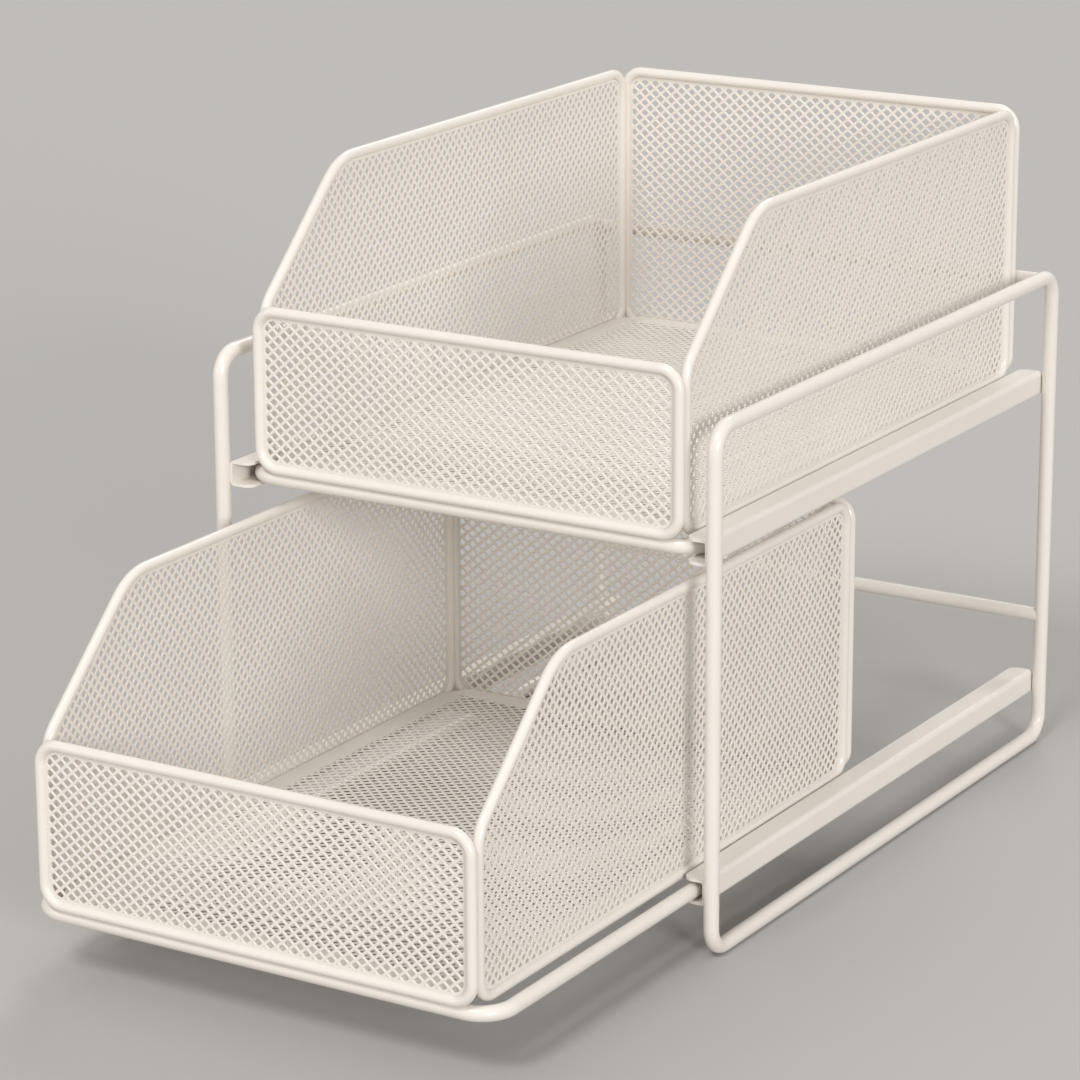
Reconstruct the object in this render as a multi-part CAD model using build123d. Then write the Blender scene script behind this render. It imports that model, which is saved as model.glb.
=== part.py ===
from build123d import *
import os

# Two-tier pull-out cabinet basket: a wire rack with two mesh baskets that
# slide forward on channel rails. Millimetres. The origin is the centre of the
# rack's footprint on the floor: +X right, +Y to the back, +Z up.
# The upper basket is shut and the lower one is pulled part of the way out.

# Driving dimensions: rack
rack_wire = 6.0  # diameter of the side frames, crossbars and slide frames
frame_spacing = 220.0  # side frame to side frame, wire centres
leg_spacing = 290.0  # front leg to rear leg, wire centres
rack_height = 209.0  # floor to the top of the side frames
frame_bend = 9.5  # bend radius of the side frames, on the wire's centre
lower_crossbar_z = 56.0
upper_crossbar_z = 203.0
upper_crossbar_y = 144.6

# Driving dimensions: rails, C channels that open inwards
rail_sheet = 1.2
rail_height = 10.2
rail_flange = 9.8
rail_length = 289.0
rail_bend = 2.0  # outside radius of the channel's two folds
rail_corner = 4.0  # rounding of the flanges' free corners
rail_bottoms = {"lower": 20.6, "upper": 153.5}

# Driving dimensions: baskets
slide_spacing = 201.0  # side bar to side bar of a slide frame, wire centres
slide_bend = 12.0
slide_inset = 4.7  # from a basket's front or back face to the slide wire's centre
running_gap = 0.3  # between the slide wire and the rail's lower flange
rim_wire = 4.2
basket_width = 191.2
basket_depth = 285.5
back_height = 116.6
front_height = 67.0
rim_bend = 8.0
shoulder_z = 64.4  # where a side panel's front edge starts to lean back
shoulder_bend = 15.0
knuckle_y = 59.4  # where the leaning edge meets the top edge
knuckle_bend = 26.0
basket_fronts = {"lower": -287.7, "upper": -144.4}  # y of each basket's front face

# Driving dimensions: mesh
mesh_sheet = 1.2
mesh_margin = 1.8  # solid strip between the rim wire and the first gaps
net_coarseness = 3.6  # the nets here are this many times coarser than the real ones
gap_share = 0.6  # a gap's width and height as a share of its pitch
wall_pitch = (5.25, 4.5)  # real diamonds, across and up: front and back walls
side_pitch = (4.55, 5.0)
floor_pitch = (5.25, 4.55)
border_sheet = 0.8
border_width = 8.0
border_corner_x = 6.8  # corners cut off to clear the rims' bends
border_corner_y = 11.0

rack_radius = rack_wire / 2
rim_radius = rim_wire / 2


def wire_loop(plane, corners, bends, radius):
    """Closed loop of round wire through corners in a plane."""
    path = plane * FilletPolyline(*corners, radius=bends, close=True)
    section = Plane(origin=path @ 0, z_dir=path % 0) * Circle(radius)
    return sweep(section, path=path)


def rectangle_corners(left, right, bottom, top):
    return [(left, bottom), (right, bottom), (right, top), (left, top)]


def diamond(centre, width, height):
    """Four-cornered gap of a net."""
    u, v = centre
    corners = [(u - width / 2, v), (u, v - height / 2), (u + width / 2, v), (u, v + height / 2)]
    return Wire.make_polygon(corners, close=True)


def net_panel(plane, outline, pitch, thickness):
    """Flat sheet with staggered rows of diamond gaps, centred on the plane."""
    across, up = (size * net_coarseness for size in pitch)
    inside = offset(outline, -mesh_margin)
    box = outline.bounding_box()
    middle = box.center()
    half_columns = int(box.size.X / across) + 1
    half_rows = int(box.size.Y / up) + 1
    gaps = []
    for row in range(-half_rows, half_rows + 1):
        for column in range(-half_columns, half_columns + 1):
            if (row + column) % 2:
                continue
            centre = (middle.X + column * across / 2, middle.Y + row * up / 2)
            gap = diamond(centre, across * gap_share, up * gap_share)
            if all(inside.is_inside(vertex.center()) for vertex in gap.vertices()):
                gaps.append(gap)
    holed = Face(outline.outer_wire(), gaps)
    print("net with", len(gaps), "gaps")
    return extrude(plane * holed, amount=thickness / 2, both=True)


def write(name, solid):
    solid.label = name
    export_step(solid, f"parts/{name}.step")


os.makedirs("parts", exist_ok=True)

# Side frames: one bent and closed loop of wire on each side
side_frames = {}
for side, sign in (("left", -1), ("right", 1)):
    corners = rectangle_corners(
        -leg_spacing / 2, leg_spacing / 2, rack_radius, rack_height - rack_radius
    )
    plane = Plane.YZ.offset(sign * frame_spacing / 2)
    side_frames[side] = wire_loop(plane, corners, frame_bend, rack_radius)
    write(f"side_frame_{side}", side_frames[side])

# Crossbars: straight wires between the rear legs, their ends coped onto them
crossbar_places = {"lower": (leg_spacing / 2, lower_crossbar_z), "upper": (upper_crossbar_y, upper_crossbar_z)}
for name, (y, z) in crossbar_places.items():
    bar = Pos(0, y, z) * Rot(0, 90, 0) * Cylinder(rack_radius, frame_spacing - rack_radius)
    write(f"rear_crossbar_{name}", bar - side_frames["left"] - side_frames["right"])

# Rails: folded channels welded to the inner sides of the legs
rail_back = frame_spacing / 2 - rack_radius
for tier, bottom in rail_bottoms.items():
    outside = Pos(rail_back, bottom) * Rectangle(rail_flange, rail_height, align=(Align.MAX, Align.MIN))
    outside = fillet(outside.vertices().group_by(Axis.X)[-1], rail_bend)
    inside = Pos(rail_back - rail_sheet, bottom + rail_sheet) * Rectangle(
        rail_flange, rail_height - 2 * rail_sheet, align=(Align.MAX, Align.MIN)
    )
    inside = fillet(inside.vertices().group_by(Axis.X)[-1], rail_bend - rail_sheet)
    rail = extrude(Plane.XZ * (outside - inside), amount=rail_length / 2, both=True)
    free_corners = rail.edges().filter_by(Axis.Z).group_by(Axis.X)[0]
    rail = fillet(free_corners, rail_corner)
    write(f"rail_{tier}_right", rail)
    write(f"rail_{tier}_left", mirror(rail, about=Plane.YZ))


def make_basket(tier):
    """The slide frame, four rimmed mesh walls and the mesh floor of one basket."""
    front = basket_fronts[tier]
    back = front + basket_depth
    slide_z = rail_bottoms[tier] + rail_sheet + running_gap + rack_radius
    # The front and back rims rest on the slide frame's cross wires
    rim_drop = ((rack_radius + rim_radius) ** 2 - (slide_inset - rim_radius) ** 2) ** 0.5
    floor = slide_z + rim_drop - rim_radius
    half_width = basket_width / 2 - rim_radius

    corners = rectangle_corners(
        -slide_spacing / 2, slide_spacing / 2, front + slide_inset, back - slide_inset
    )
    write(f"{tier}_slide_frame", wire_loop(Plane.XY.offset(slide_z), corners, slide_bend, rack_radius))

    # Front and back walls: a rectangular wire rim round a net
    for wall, y, height in (
        ("front", front + rim_radius, front_height),
        ("back", back - rim_radius, back_height),
    ):
        plane = Plane.XZ.offset(-y)
        corners = rectangle_corners(
            -half_width, half_width, floor + rim_radius, floor + height - rim_radius
        )
        write(f"{tier}_{wall}_rim", wire_loop(plane, corners, rim_bend, rim_radius))
        outline = make_face(FilletPolyline(*corners, radius=rim_bend, close=True))
        outline = offset(outline, -rim_radius)
        net = net_panel(plane, outline.face(), wall_pitch, mesh_sheet)
        write(f"{tier}_{wall}_mesh", net)

    # Side walls: the front top corner is cut back in a long slope
    rim_front = front + rim_wire + rim_radius
    rim_back = back - rim_wire - rim_radius
    rim_top = floor + back_height - rim_radius
    corners = [
        (rim_front, floor + rim_radius),
        (rim_front, floor + shoulder_z),
        (front + knuckle_y, rim_top),
        (rim_back, rim_top),
        (rim_back, floor + rim_radius),
    ]
    bends = [rim_bend, shoulder_bend, knuckle_bend, rim_bend, rim_bend]
    outline = make_face(FilletPolyline(*corners, radius=bends, close=True))
    outline = offset(outline, -rim_radius)
    for side, sign in (("left", -1), ("right", 1)):
        plane = Plane.YZ.offset(sign * half_width)
        write(f"{tier}_{side}_rim", wire_loop(plane, corners, bends, rim_radius))
        net = net_panel(plane, outline.face(), side_pitch, mesh_sheet)
        write(f"{tier}_{side}_mesh", net)

    # Floor: a flat border inside the walls, with a net in it
    edge_x = half_width - mesh_sheet / 2
    edge_front = front + rim_radius + mesh_sheet / 2
    edge_back = back - rim_radius - mesh_sheet / 2
    centre_y = (edge_front + edge_back) / 2
    length = edge_back - edge_front
    border_z = floor + rim_wire
    border = Polygon(
        (edge_x, edge_front + border_corner_y),
        (edge_x, edge_back - border_corner_y),
        (edge_x - border_corner_x, edge_back),
        (border_corner_x - edge_x, edge_back),
        (-edge_x, edge_back - border_corner_y),
        (-edge_x, edge_front + border_corner_y),
        (border_corner_x - edge_x, edge_front),
        (edge_x - border_corner_x, edge_front),
        align=None,
    )
    opening = Pos(0, centre_y) * Rectangle(2 * (edge_x - border_width), length - 2 * border_width)
    plane = Plane.XY.offset(border_z)
    write(f"{tier}_bottom_border", extrude(plane * (border - opening), amount=border_sheet))
    net = net_panel(plane.offset(border_sheet / 2), opening.face(), floor_pitch, border_sheet)
    write(f"{tier}_bottom_mesh", net)


for tier in rail_bottoms:
    make_basket(tier)
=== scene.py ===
# %% [markdown]
# # A two-tier pull-out basket rack
# The object is a small wire rack for a cupboard, with two mesh baskets that slide
# forward on channel rails. Everything is steel under one warm white powder coat.
# The wires, rails and floor borders come from the construction model with their exact
# shapes, so this lesson adds what that model leaves coarse: the fine mesh of the walls
# and floors, and the finish of the coat.

import math

import bpy
from mathutils import Matrix, Vector


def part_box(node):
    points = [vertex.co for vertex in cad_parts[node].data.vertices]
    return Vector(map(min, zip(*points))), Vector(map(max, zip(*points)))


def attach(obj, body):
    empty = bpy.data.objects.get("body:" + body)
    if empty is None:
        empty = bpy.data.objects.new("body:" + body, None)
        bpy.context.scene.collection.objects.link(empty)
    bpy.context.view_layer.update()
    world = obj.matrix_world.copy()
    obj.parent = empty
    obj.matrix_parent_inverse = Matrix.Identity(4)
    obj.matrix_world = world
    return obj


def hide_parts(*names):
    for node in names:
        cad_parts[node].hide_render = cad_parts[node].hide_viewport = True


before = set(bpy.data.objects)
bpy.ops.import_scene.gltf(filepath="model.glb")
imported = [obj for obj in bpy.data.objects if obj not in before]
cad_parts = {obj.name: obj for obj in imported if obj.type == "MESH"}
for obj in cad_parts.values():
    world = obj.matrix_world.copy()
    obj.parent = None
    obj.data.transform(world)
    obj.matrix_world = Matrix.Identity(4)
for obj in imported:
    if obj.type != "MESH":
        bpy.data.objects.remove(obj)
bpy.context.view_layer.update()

# %% [markdown]
# ## The camera
# The picture was taken from the front right, a little above the rack, through a long
# lens, so the lines hardly converge. A camera could be aimed by eye, but these numbers
# were solved from the corners of the rack and the baskets, which puts every wire close
# to its place in the picture. The lens is not shifted, so other views stay centred.

# %% Camera
camera_place = (0.8000, -1.3909, 0.5924)
camera_heading = 31.535  # degrees, turned left from looking along +Y
camera_dip = 16.724  # degrees below the horizon
camera_roll = -0.234
camera_lens = 136.06  # millimetres on a 36 mm sensor

camera_data = bpy.data.cameras.new("studio camera")
camera_data.lens = camera_lens
camera_data.sensor_width = 36.0
camera = bpy.data.objects.new("studio camera", camera_data)
bpy.context.scene.collection.objects.link(camera)
camera.location = camera_place
turn = Matrix.Rotation(math.radians(camera_heading), 4, "Z")
dip = Matrix.Rotation(math.radians(90 - camera_dip), 4, "X")
roll = Matrix.Rotation(math.radians(camera_roll), 4, "Z")
camera.rotation_euler = (turn @ dip @ roll).to_euler()
bpy.context.scene.camera = camera
print("camera at", camera_place, "with a", camera_lens, "mm lens")

# %% [markdown]
# ## The powder coat
# Powder coat is a thick baked paint. It is smooth but not perfectly flat: it keeps a
# faint ripple, like orange peel, and its gloss changes a little from place to place.
# One flat colour with one roughness would look like plastic, so three noises of
# different sizes drive the colour, the roughness and a very small bump. They read
# Object coordinates, because every piece keeps its place in its mesh.
#
# The gloss of each finish stays on one side of a roughness of about 0.27.

# %% Node helper


def add_node(tree, kind, inputs=None, **options):
    """Adds a node, sets its options, and fills or links its input sockets."""
    node = tree.nodes.new(kind)
    for name, value in options.items():
        setattr(node, name, value)
    for key, value in (inputs or {}).items():
        if isinstance(value, bpy.types.NodeSocket):
            tree.links.new(value, node.inputs[key])
        else:
            node.inputs[key].default_value = value
    return node


# %% Coat material
coat_light = (0.830, 0.785, 0.728, 1.0)
coat_shade = (0.808, 0.760, 0.700, 1.0)
mottles_per_metre = 16.0
gloss_patches_per_metre = 90.0
noise_low, noise_high = 0.3, 0.7  # where most of a noise's values lie
glossier, duller = 0.04, 0.05  # how far the roughness strays from its middle
ripple_strength = 0.5


def powder_coat(name, roughness, ripple_size, ripple_depth):
    """Warm white baked paint with soft mottling and a faint ripple."""
    material = bpy.data.materials.new(name)
    material.use_nodes = True
    tree = material.node_tree
    shader = tree.nodes["Principled BSDF"]
    place = add_node(tree, "ShaderNodeTexCoord").outputs["Object"]

    mottle = add_node(tree, "ShaderNodeTexNoise", {
        "Vector": place, "Scale": mottles_per_metre, "Detail": 1.0,
    })
    colour = add_node(tree, "ShaderNodeValToRGB", {"Fac": mottle.outputs["Fac"]})
    shade_stop, light_stop = colour.color_ramp.elements
    shade_stop.position = noise_low
    shade_stop.color = coat_shade
    light_stop.position = noise_high
    light_stop.color = coat_light
    tree.links.new(colour.outputs["Color"], shader.inputs["Base Color"])

    gloss = add_node(tree, "ShaderNodeTexNoise", {
        "Vector": place, "Scale": gloss_patches_per_metre, "Detail": 2.0,
    })
    spread = add_node(tree, "ShaderNodeMapRange", {
        "Value": gloss.outputs["Fac"], "From Min": noise_low, "From Max": noise_high,
        "To Min": roughness - glossier, "To Max": roughness + duller,
    })
    tree.links.new(spread.outputs["Result"], shader.inputs["Roughness"])

    ripple = add_node(tree, "ShaderNodeTexNoise", {
        "Vector": place, "Scale": 1 / ripple_size, "Detail": 2.0,
    })
    bump = add_node(tree, "ShaderNodeBump", {
        "Strength": ripple_strength, "Distance": ripple_depth, "Height": ripple.outputs["Fac"],
    })
    tree.links.new(bump.outputs["Normal"], shader.inputs["Normal"])
    return material


wire_coat = powder_coat(
    "coat on wire", roughness=0.22, ripple_size=0.0035, ripple_depth=0.00001
)
rail_coat = powder_coat(
    "coat on folded rail", roughness=0.34, ripple_size=0.0045, ripple_depth=0.00003
)
mesh_coat = powder_coat(
    "coat on mesh", roughness=0.22, ripple_size=0.0020, ripple_depth=0.00001
)
border_coat = powder_coat(
    "coat on floor border", roughness=0.35, ripple_size=0.0040, ripple_depth=0.00003
)
print("materials:", [material.name for material in bpy.data.materials])

# %% [markdown]
# ## The wires and the rails
# The side frames, crossbars, slide frames, rims and rails already have their true
# shapes. They only need the coat, with a finish of its own for round wire, folded
# rail and flat border, because the powder lies differently on each. The coarse nets get
# the coat too, although the fine nets take their place later.

# %% Coat the carried-over parts


def coat_for(name):
    if name.startswith("rail"):
        return rail_coat
    if name.endswith("border"):
        return border_coat
    if name.endswith("mesh"):
        return mesh_coat
    return wire_coat


for name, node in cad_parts.items():
    node.data.materials.clear()
    node.data.materials.append(coat_for(name))
print(len(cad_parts), "carried-over parts coated")

# %% [markdown]
# ## How the mesh works
# The walls and floors are expanded steel: a sheet is slit in rows and pulled open, so
# the slits become small diamonds and the metal between them becomes slanting strands.
# A wall has over a thousand of these gaps. Cutting them out of a flat sheet would leave
# sharp, dead edges, and the real strands are rounded by the coat. The net follows a
# rule, so Geometry Nodes make it: two families of slanting lines are laid over the
# wall, cut off where they leave its outline, and swept with an oval. A small web fills
# the corners of each crossing, as the thick coat does, and a flat strip holds the ends.
#
# The tree's inputs are the sizes a mesh maker would give: the width and height of one
# diamond, the strand's width and thickness, and how far a web reaches into the corners
# of the gaps. All sizes are in metres.

# %% Inputs of the net tree
net_sizes = {
    "Diamond Width": 0.0045,
    "Diamond Height": 0.0050,
    "Strand Width": 0.00122,
    "Strand Thickness": 0.00065,
    "Web Fill": 0.00009,
    "Web Thickness": 0.00042,
    "Strip Width": 0.0012,
    "Strip Thickness": 0.0006,
}
net_tree = bpy.data.node_groups.new("expanded steel net", "GeometryNodeTree")
net_tree.is_modifier = True
net_tree.interface.new_socket("Geometry", in_out="INPUT", socket_type="NodeSocketGeometry")
for name, size in net_sizes.items():
    socket = net_tree.interface.new_socket(name, in_out="INPUT", socket_type="NodeSocketFloat")
    socket.default_value = size
net_tree.interface.new_socket("Coat", in_out="INPUT", socket_type="NodeSocketMaterial")
net_tree.interface.new_socket("Geometry", in_out="OUTPUT", socket_type="NodeSocketGeometry")
given = add_node(net_tree, "NodeGroupInput").outputs
print("the net tree takes", ", ".join(net_sizes))

# %% Small helpers for the tree


def maths(operation, *values):
    inputs = dict(enumerate(values))
    return add_node(net_tree, "ShaderNodeMath", inputs, operation=operation).outputs[0]


def vector_maths(operation, *values):
    inputs = dict(enumerate(values))
    return add_node(net_tree, "ShaderNodeVectorMath", inputs, operation=operation).outputs[0]


def scaled(vector, factor):
    inputs = {0: vector, "Scale": factor}
    return add_node(net_tree, "ShaderNodeVectorMath", inputs, operation="SCALE").outputs[0]


def combined(x, y, z):
    return add_node(net_tree, "ShaderNodeCombineXYZ", {"X": x, "Y": y, "Z": z}).outputs[0]


def chosen(test, when_false, when_true):
    inputs = {"Switch": test, "False": when_false, "True": when_true}
    return add_node(net_tree, "GeometryNodeSwitch", inputs, input_type="VECTOR").outputs[0]


def ray(target, start, direction, length):
    """Looks from start along direction for the target, up to length away."""
    return add_node(net_tree, "GeometryNodeRaycast", {
        "Target Geometry": target, "Source Position": start,
        "Ray Direction": direction, "Ray Length": length,
    }).outputs


# %% [markdown]
# ## The step from one crossing to the next
# Every crossing is reached from the middle of the wall by whole steps, and each step is
# half a diamond across and half a diamond up or down. The number of steps that surely
# reaches every corner follows from the outline's own size, so the same tree fills a
# wall of any shape.

# %% Steps and reach
outline = given["Geometry"]
half_width = maths("MULTIPLY", given["Diamond Width"], 0.5)
half_height = maths("MULTIPLY", given["Diamond Height"], 0.5)
rising_step = combined(half_width, half_height, 0.0)
falling_step = vector_maths("MULTIPLY", rising_step, (1, -1, 1))
step_length = add_node(
    net_tree, "ShaderNodeVectorMath", {0: rising_step}, operation="LENGTH"
).outputs["Value"]

box = add_node(net_tree, "GeometryNodeBoundBox", {"Geometry": outline}).outputs
size = add_node(net_tree, "ShaderNodeSeparateXYZ", {
    "Vector": vector_maths("SUBTRACT", box["Max"], box["Min"]),
}).outputs
columns = maths("DIVIDE", size["X"], given["Diamond Width"])
rows = maths("DIVIDE", size["Y"], given["Diamond Height"])
half_count = maths("MULTIPLY", maths("ADD", columns, rows), 0.5)
reach = maths("ADD", maths("CEIL", half_count), 1.0)
place = add_node(net_tree, "GeometryNodeInputPosition").outputs[0]
print("with the steps, the tree has", len(net_tree.nodes), "nodes")

# %% [markdown]
# ## What is inside the wall
# A ray that starts above a point and looks straight down meets the wall's face only
# where the point lies inside the outline. The same face, lowered and with its edges
# pulled up into an upright fence, tells how far away the outline is along a strand.

# %% Inside test and fence
ray_height = 0.01
above = vector_maths("ADD", place, (0, 0, ray_height))
inside = ray(outline, above, (0, 0, -1), 2 * ray_height)["Is Hit"]
lowered = add_node(net_tree, "GeometryNodeTransform", {
    "Geometry": outline, "Translation": (0, 0, -ray_height),
})
fence = add_node(net_tree, "GeometryNodeExtrudeMesh", {
    "Mesh": lowered.outputs["Geometry"], "Offset": (0, 0, 1), "Offset Scale": 2 * ray_height,
}, mode="EDGES").outputs["Mesh"]
print("rays start", ray_height, "m above a wall, and its fence is twice as high")

# %% A row of crossings


def row_of_steps(step):
    """A row of points, one step apart, from corner to corner across the middle."""
    return add_node(net_tree, "GeometryNodeMeshLine", {
        "Count": maths("MULTIPLY_ADD", reach, 2.0, 1.0),
        "Start Location": scaled(scaled(step, reach), -1.0),
        "Offset": step,
    }).outputs["Mesh"]


# %% [markdown]
# ## Laying and trimming one family of strands
# A family starts as one long line with two points for each step, and is repeated
# sideways. Points inside the outline stay. The first point outside is moved back along
# its own strand to the fence, and all others are deleted, so each strand ends exactly
# on the outline. A straight strand then needs only its two ends, which keeps the net
# light, and it is swept with an oval that is as wide and thick as the real strand.

# %% One family of strands
strand_sides = 12


def strand_family(step, sideways):
    """Parallel strands that follow step and are cut to the outline."""
    end = scaled(step, reach)
    line = add_node(net_tree, "GeometryNodeCurvePrimitiveLine", {
        "Start": scaled(end, -1.0), "End": end,
    })
    line = add_node(net_tree, "GeometryNodeResampleCurve", {
        "Curve": line.outputs["Curve"], "Count": maths("MULTIPLY_ADD", reach, 4.0, 1.0),
    })
    strands = add_node(net_tree, "GeometryNodeInstanceOnPoints", {
        "Points": row_of_steps(sideways), "Instance": line.outputs["Curve"],
    })
    strands = add_node(
        net_tree, "GeometryNodeRealizeInstances", {"Geometry": strands.outputs["Instances"]}
    )
    half_step = maths("MULTIPLY", step_length, 0.5)
    ahead = ray(fence, place, step, half_step)
    behind = ray(fence, place, scaled(step, -1.0), half_step)
    kept = maths("MAXIMUM", inside, maths("MAXIMUM", ahead["Is Hit"], behind["Is Hit"]))
    trimmed = add_node(net_tree, "GeometryNodeDeleteGeometry", {
        "Geometry": strands.outputs["Geometry"], "Selection": maths("SUBTRACT", 1.0, kept),
    }, domain="POINT")
    ended = add_node(net_tree, "GeometryNodeSetPosition", {
        "Geometry": trimmed.outputs["Geometry"],
        "Selection": maths("SUBTRACT", 1.0, inside),
        "Position": chosen(ahead["Is Hit"], behind["Hit Position"], ahead["Hit Position"]),
    })
    straight = add_node(net_tree, "GeometryNodeResampleCurve", {
        "Curve": ended.outputs["Geometry"], "Count": 2,
    })
    return swept(straight.outputs["Curve"])


def swept(strands):
    """Gives the strands their oval body."""
    level = add_node(net_tree, "GeometryNodeSetCurveNormal", {"Curve": strands}, mode="Z_UP")
    circle = add_node(net_tree, "GeometryNodeCurvePrimitiveCircle", {
        "Resolution": strand_sides, "Radius": 0.5,
    })
    oval = add_node(net_tree, "GeometryNodeTransform", {
        "Geometry": circle.outputs["Curve"],
        "Scale": combined(given["Strand Width"], given["Strand Thickness"], 1.0),
    })
    return add_node(net_tree, "GeometryNodeCurveToMesh", {
        "Curve": level.outputs["Curve"], "Profile Curve": oval.outputs["Geometry"],
        "Fill Caps": True,
    }).outputs["Mesh"]


# %% [markdown]
# ## The webs at the crossings
# Two crossing bars alone leave sharp corners in the gaps. The coat rounds them, so each
# crossing gets a thin eight-sided plate. It is narrower than the crossing everywhere
# but in the four corners of the gaps, where it reaches in by the fill and cuts each
# corner off. Its corners are worked out from the slope and width of the strands, so
# it fits diamonds of any shape.

# %% One web
web_sides = 8
corner_scale = maths("MULTIPLY", given["Strand Width"], step_length)
corner_x = maths("DIVIDE", corner_scale, given["Diamond Height"])
corner_y = maths("DIVIDE", corner_scale, given["Diamond Width"])
slope = maths("DIVIDE", given["Diamond Height"], given["Diamond Width"])
on_sides = combined(
    maths("ADD", corner_x, given["Web Fill"]), maths("MULTIPLY", given["Web Fill"], slope), 1.0
)
on_ends = combined(
    maths("DIVIDE", given["Web Fill"], slope), maths("ADD", corner_y, given["Web Fill"]), 1.0
)
prism = add_node(net_tree, "GeometryNodeMeshCylinder", {
    "Vertices": web_sides, "Radius": 1.0, "Depth": given["Web Thickness"],
})
half_side_angle = math.pi / web_sides
prism = add_node(net_tree, "GeometryNodeTransform", {
    "Geometry": prism.outputs["Mesh"], "Rotation": (0, 0, half_side_angle),
})
far_out = add_node(net_tree, "ShaderNodeSeparateXYZ", {
    "Vector": vector_maths("ABSOLUTE", place),
}).outputs
corner = chosen(maths("GREATER_THAN", far_out["X"], far_out["Y"]), on_ends, on_sides)
flat_place = vector_maths("MULTIPLY", vector_maths("SIGN", place), (1, 1, 0))
height_part = vector_maths("MULTIPLY", place, (0, 0, 1))
web = add_node(net_tree, "GeometryNodeSetPosition", {
    "Geometry": prism.outputs["Geometry"],
    "Position": vector_maths("ADD", vector_maths("MULTIPLY", flat_place, corner), height_part),
})
print("a web has", web_sides, "sides, and the tree now has", len(net_tree.nodes), "nodes")

# %% A web on every crossing
lattice = add_node(net_tree, "GeometryNodeInstanceOnPoints", {
    "Points": row_of_steps(rising_step), "Instance": row_of_steps(falling_step),
})
lattice = add_node(
    net_tree, "GeometryNodeRealizeInstances", {"Geometry": lattice.outputs["Instances"]}
)
webs = add_node(net_tree, "GeometryNodeInstanceOnPoints", {
    "Points": lattice.outputs["Geometry"], "Instance": web.outputs["Geometry"],
    "Selection": inside,
})
flat_webs = add_node(net_tree, "GeometryNodeRealizeInstances", {
    "Geometry": webs.outputs["Instances"],
})
print("with the webs, the tree has", len(net_tree.nodes), "nodes")

# %% [markdown]
# ## The strip and the finished tree
# The sheet's uncut edge stays as a narrow strip round the net, where it is welded to the
# rim. The outline turned into a curve and swept with a flat section gives it. Strip and
# webs are flat pieces with crisp edges, so only the strands are shaded smooth. At the
# end the tree makes every instance real and gives the net its coat.

# %% The strip round the net, and the whole tree
ring = add_node(net_tree, "GeometryNodeMeshToCurve", {"Mesh": outline})
ring = add_node(net_tree, "GeometryNodeSetCurveNormal", {"Curve": ring.outputs["Curve"]}, mode="Z_UP")
strip_section = add_node(net_tree, "GeometryNodeCurvePrimitiveQuadrilateral", {
    "Width": given["Strip Width"], "Height": given["Strip Thickness"],
})
strip = add_node(net_tree, "GeometryNodeCurveToMesh", {
    "Curve": ring.outputs["Curve"], "Profile Curve": strip_section.outputs["Curve"],
})
flat_parts = add_node(net_tree, "GeometryNodeJoinGeometry")
net_tree.links.new(strip.outputs["Mesh"], flat_parts.inputs["Geometry"])
net_tree.links.new(flat_webs.outputs["Geometry"], flat_parts.inputs["Geometry"])
flat_parts = add_node(net_tree, "GeometryNodeSetShadeSmooth", {
    "Geometry": flat_parts.outputs["Geometry"], "Shade Smooth": False,
})

joined = add_node(net_tree, "GeometryNodeJoinGeometry")
net_tree.links.new(flat_parts.outputs["Geometry"], joined.inputs["Geometry"])
for step, sideways in ((rising_step, falling_step), (falling_step, rising_step)):
    net_tree.links.new(strand_family(step, sideways), joined.inputs["Geometry"])
real = add_node(net_tree, "GeometryNodeRealizeInstances", {"Geometry": joined.outputs["Geometry"]})
coated = add_node(net_tree, "GeometryNodeSetMaterial", {
    "Geometry": real.outputs["Geometry"], "Material": given["Coat"],
})
add_node(net_tree, "NodeGroupOutput", {"Geometry": coated.outputs["Geometry"]})
print("the net tree has", len(net_tree.nodes), "nodes")

# %% [markdown]
# ## The outlines of the nets
# Each net fills its rim, so its outline is the rim's own line moved inwards. The rim's
# box gives the straight sizes. The front, back and floor nets are rectangles, and a
# side net has the long slope that lets a hand reach in. The slope is the one thing a
# box can't tell, so its two bends are named here. The outline runs along the middle of
# the strip, half a strip inside the rim's surface.

# %% Outline sizes
rim_radius = 0.0021
rim_bend = 0.008
shoulder_height, shoulder_bend = 0.0644, 0.015  # where the slope starts on the front edge
knuckle_reach, knuckle_bend = 0.0594, 0.026  # where it meets the top, behind the front face
strip_inset = net_sizes["Strip Width"] / 2
floor_corner = 0.0011  # the floor's opening has nearly sharp corners
corner_steps = 6  # straight pieces in each rounded corner of an outline
flat_axes = {"front": (0, 2), "back": (0, 2), "left": (1, 2), "right": (1, 2), "bottom": (0, 1)}
print("each outline lies", 1000 * strip_inset, "mm inside its rim")

# %% Polygon helpers
# Corners run anticlockwise


def inset_polygon(corners, distance):
    """The same polygon with every edge moved inwards."""
    moved = []
    for index, corner in enumerate(corners):
        before = (corner - corners[index - 1]).normalized()
        after = (corners[(index + 1) % len(corners)] - corner).normalized()
        inward = Vector((-before.y - after.y, before.x + after.x)).normalized()
        moved.append(corner + inward * distance / math.cos(before.angle(after) / 2))
    return moved


def rounded(corners, radii):
    """Points along a polygon whose corners are rounded to the given radii."""
    points = []
    for index, corner in enumerate(corners):
        before = (corners[index - 1] - corner).normalized()
        after = (corners[(index + 1) % len(corners)] - corner).normalized()
        half_angle = before.angle(after) / 2
        radius = radii[index]
        centre = corner + (before + after).normalized() * radius / math.sin(half_angle)
        first = corner + before * radius / math.tan(half_angle) - centre
        sweep = math.pi - 2 * half_angle
        for step in range(corner_steps + 1):
            points.append(centre + Matrix.Rotation(sweep * step / corner_steps, 2) @ first)
    return points


# %% The outline of one net


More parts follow.
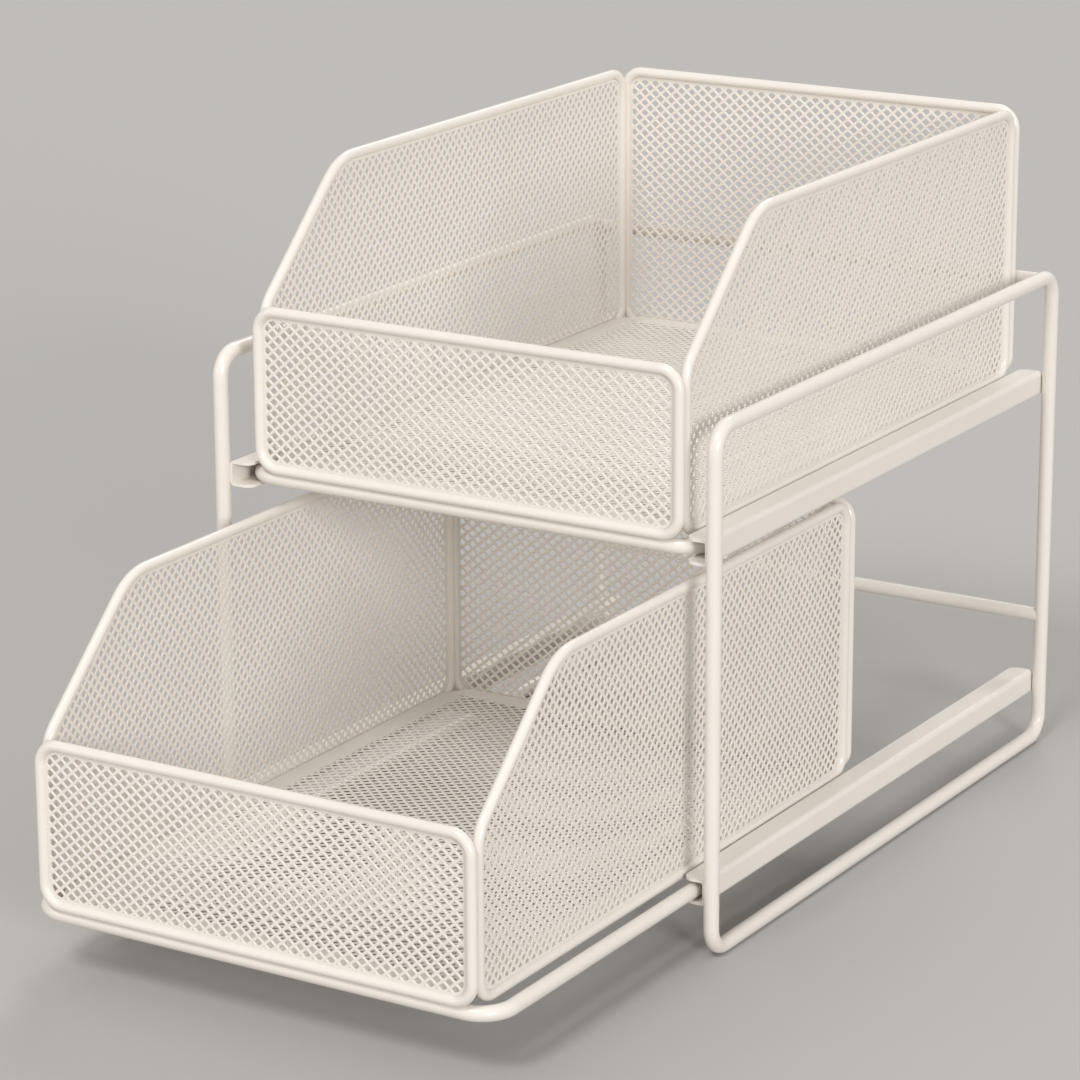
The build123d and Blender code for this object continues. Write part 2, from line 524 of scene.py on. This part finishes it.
def net_outline(basket, wall):
    """The middle line of the strip round one net, in the two flat axes of its wall."""
    across, up = flat_axes[wall]
    rimmed = wall != "bottom"
    low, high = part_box(f"{basket}_{wall}_rim" if rimmed else f"{basket}_{wall}_mesh")
    left, right = low[across], high[across]
    bottom, top = low[up], high[up]
    corners = [(left, bottom), (right, bottom), (right, top), (left, top)]
    bends = [floor_corner] * 4
    inset = strip_inset
    if rimmed:
        bends = [rim_bend + rim_radius] * 4
        inset += 2 * rim_radius
    corners = [Vector(corner) for corner in corners]
    if wall in ("left", "right"):
        front_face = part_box(f"{basket}_front_rim")[0].y
        line = inset_polygon(corners, rim_radius)
        knuckle = Vector((front_face + knuckle_reach, line[2].y))
        shoulder = Vector((line[3].x, bottom + shoulder_height))
        corners = line[:3] + [knuckle, shoulder]
        bends = [rim_bend] * 3 + [knuckle_bend, shoulder_bend]
        inset -= rim_radius
    return rounded(inset_polygon(corners, inset), [bend - inset for bend in bends])


print("a side net's outline has", len(net_outline("upper", "left")), "points")

# %% [markdown]
# ## Making the ten nets
# A flat blank with the net's outline is the input, and the tree turns it into the net.
# The result is taken as a plain mesh, which is then stood up in its wall. Each net
# stands for the coarse one of the construction model, and rides on its basket. The
# side walls have narrower, taller diamonds than the front, with slightly wider strands.

# %% Make and place one net
# Each matrix turns the net's flat axes into the two axes of its wall
stand_up = {
    (0, 1): Matrix.Identity(4),
    (0, 2): Matrix(((1, 0, 0, 0), (0, 0, -1, 0), (0, 1, 0, 0), (0, 0, 0, 1))),
    (1, 2): Matrix(((0, 0, 1, 0), (1, 0, 0, 0), (0, 1, 0, 0), (0, 0, 0, 1))),
}


def make_net(basket, wall, diamond_width, diamond_height, strand_width):
    """Runs the net tree on one wall's blank and puts the result in its basket."""
    across, up = flat_axes[wall]
    low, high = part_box(f"{basket}_{wall}_mesh")
    middle = (low + high) / 2
    flat_middle = Vector((middle[across], middle[up]))
    points = [point - flat_middle for point in net_outline(basket, wall)]
    blank_data = bpy.data.meshes.new("net blank")
    blank_data.from_pydata([(*point, 0) for point in points], [], [list(range(len(points)))])
    blank = bpy.data.objects.new("net blank", blank_data)
    bpy.context.scene.collection.objects.link(blank)

    modifier = blank.modifiers.new("net", "NODES")
    modifier.node_group = net_tree
    values = {
        "Diamond Width": diamond_width, "Diamond Height": diamond_height,
        "Strand Width": strand_width, "Coat": mesh_coat,
    }
    for item in net_tree.interface.items_tree:
        if item.in_out == "INPUT" and item.name in values:
            modifier[item.identifier] = values[item.name]
    evaluated = blank.evaluated_get(bpy.context.evaluated_depsgraph_get())
    net_data = bpy.data.meshes.new_from_object(evaluated)
    bpy.data.objects.remove(blank)

    net_data.transform(Matrix.Translation(middle) @ stand_up[across, up])
    net = bpy.data.objects.new(f"{basket}_{wall}_net", net_data)
    bpy.context.scene.collection.objects.link(net)
    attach(net, f"{basket}_basket")
    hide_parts(f"{basket}_{wall}_mesh")
    return net


# %% Make the nets
# The width and height of a diamond, and the width of a strand
diamonds = {
    "front": (0.00525, 0.00450, 0.00122),
    "back": (0.00525, 0.00450, 0.00122),
    "left": (0.00455, 0.00500, 0.00138),
    "right": (0.00455, 0.00500, 0.00138),
    "bottom": (0.00525, 0.00455, 0.00138),
}
for basket in ("upper", "lower"):
    for wall, diamond in diamonds.items():
        net = make_net(basket, wall, *diamond)
        triangles = sum(len(polygon.vertices) - 2 for polygon in net.data.polygons)
        print(net.name, "has", triangles, "triangles")

# %% [markdown]
# ## Studio
# The rack stands on a plain pale floor, matt so that no lamp glares in it. The picture's
# light is very even, so the pale world gives much of it. The main soft lamp stands low
# on the right: in the picture the frame's top wire throws its shadow on the basket just
# above itself. Weaker lamps from the left, above and behind give each side some shape.
# All lamps are wide and far away, because near ones leave bright pools on the floor.

# %% Floor
floor_reach = 12.0
floor_data = bpy.data.meshes.new("studio floor")
floor_data.from_pydata(
    [(-floor_reach, -floor_reach, 0), (floor_reach, -floor_reach, 0),
     (floor_reach, floor_reach, 0), (-floor_reach, floor_reach, 0)], [], [(0, 1, 2, 3)],
)
floor = bpy.data.objects.new("studio floor", floor_data)
bpy.context.scene.collection.objects.link(floor)
floor_paint = bpy.data.materials.new("studio floor paint")
floor_paint.use_nodes = True
floor_colour = (0.48, 0.467, 0.453, 1.0)
floor_shader = floor_paint.node_tree.nodes["Principled BSDF"]
floor_shader.inputs["Base Color"].default_value = floor_colour
floor_shader.inputs["Roughness"].default_value = 1.0
floor_shader.inputs["Specular IOR Level"].default_value = 0.0  # no glare
floor_data.materials.append(floor_paint)
print("the floor reaches", floor_reach, "m each way")

# %% Lights


def far_softbox(name, direction, spread, strength):
    """A wide lamp in a direction seen from the rack, so far away that the floor is lit evenly."""
    lamp_data = bpy.data.lights.new(name, "SUN")
    lamp_data.angle = math.radians(spread)
    lamp_data.energy = strength
    lamp = bpy.data.objects.new(name, lamp_data)
    bpy.context.scene.collection.objects.link(lamp)
    lamp.rotation_euler = (-Vector(direction)).to_track_quat("-Z", "Y").to_euler()
    print(name, "is", spread, "degrees wide, strength", strength)


far_softbox("right softbox", direction=(0.80, -0.55, 0.27), spread=16, strength=1.52)
far_softbox("front left softbox", direction=(-0.66, -0.72, 0.20), spread=16, strength=0.18)
far_softbox("high front softbox", direction=(0.0, -0.60, 0.80), spread=19, strength=1.05)
far_softbox("rear softbox", direction=(-0.20, 0.70, 0.70), spread=24, strength=0.75)

# %% World and colour view
world_colour = (1.0, 0.985, 0.96, 1.0)
world_strength = 0.52
world = bpy.data.worlds.new("studio world")
world.use_nodes = True
background = world.node_tree.nodes["Background"]
background.inputs["Color"].default_value = world_colour
background.inputs["Strength"].default_value = world_strength
bpy.context.scene.world = world
bpy.context.scene.view_settings.view_transform = "Standard"
print("world strength", world_strength, "and a plain colour view")
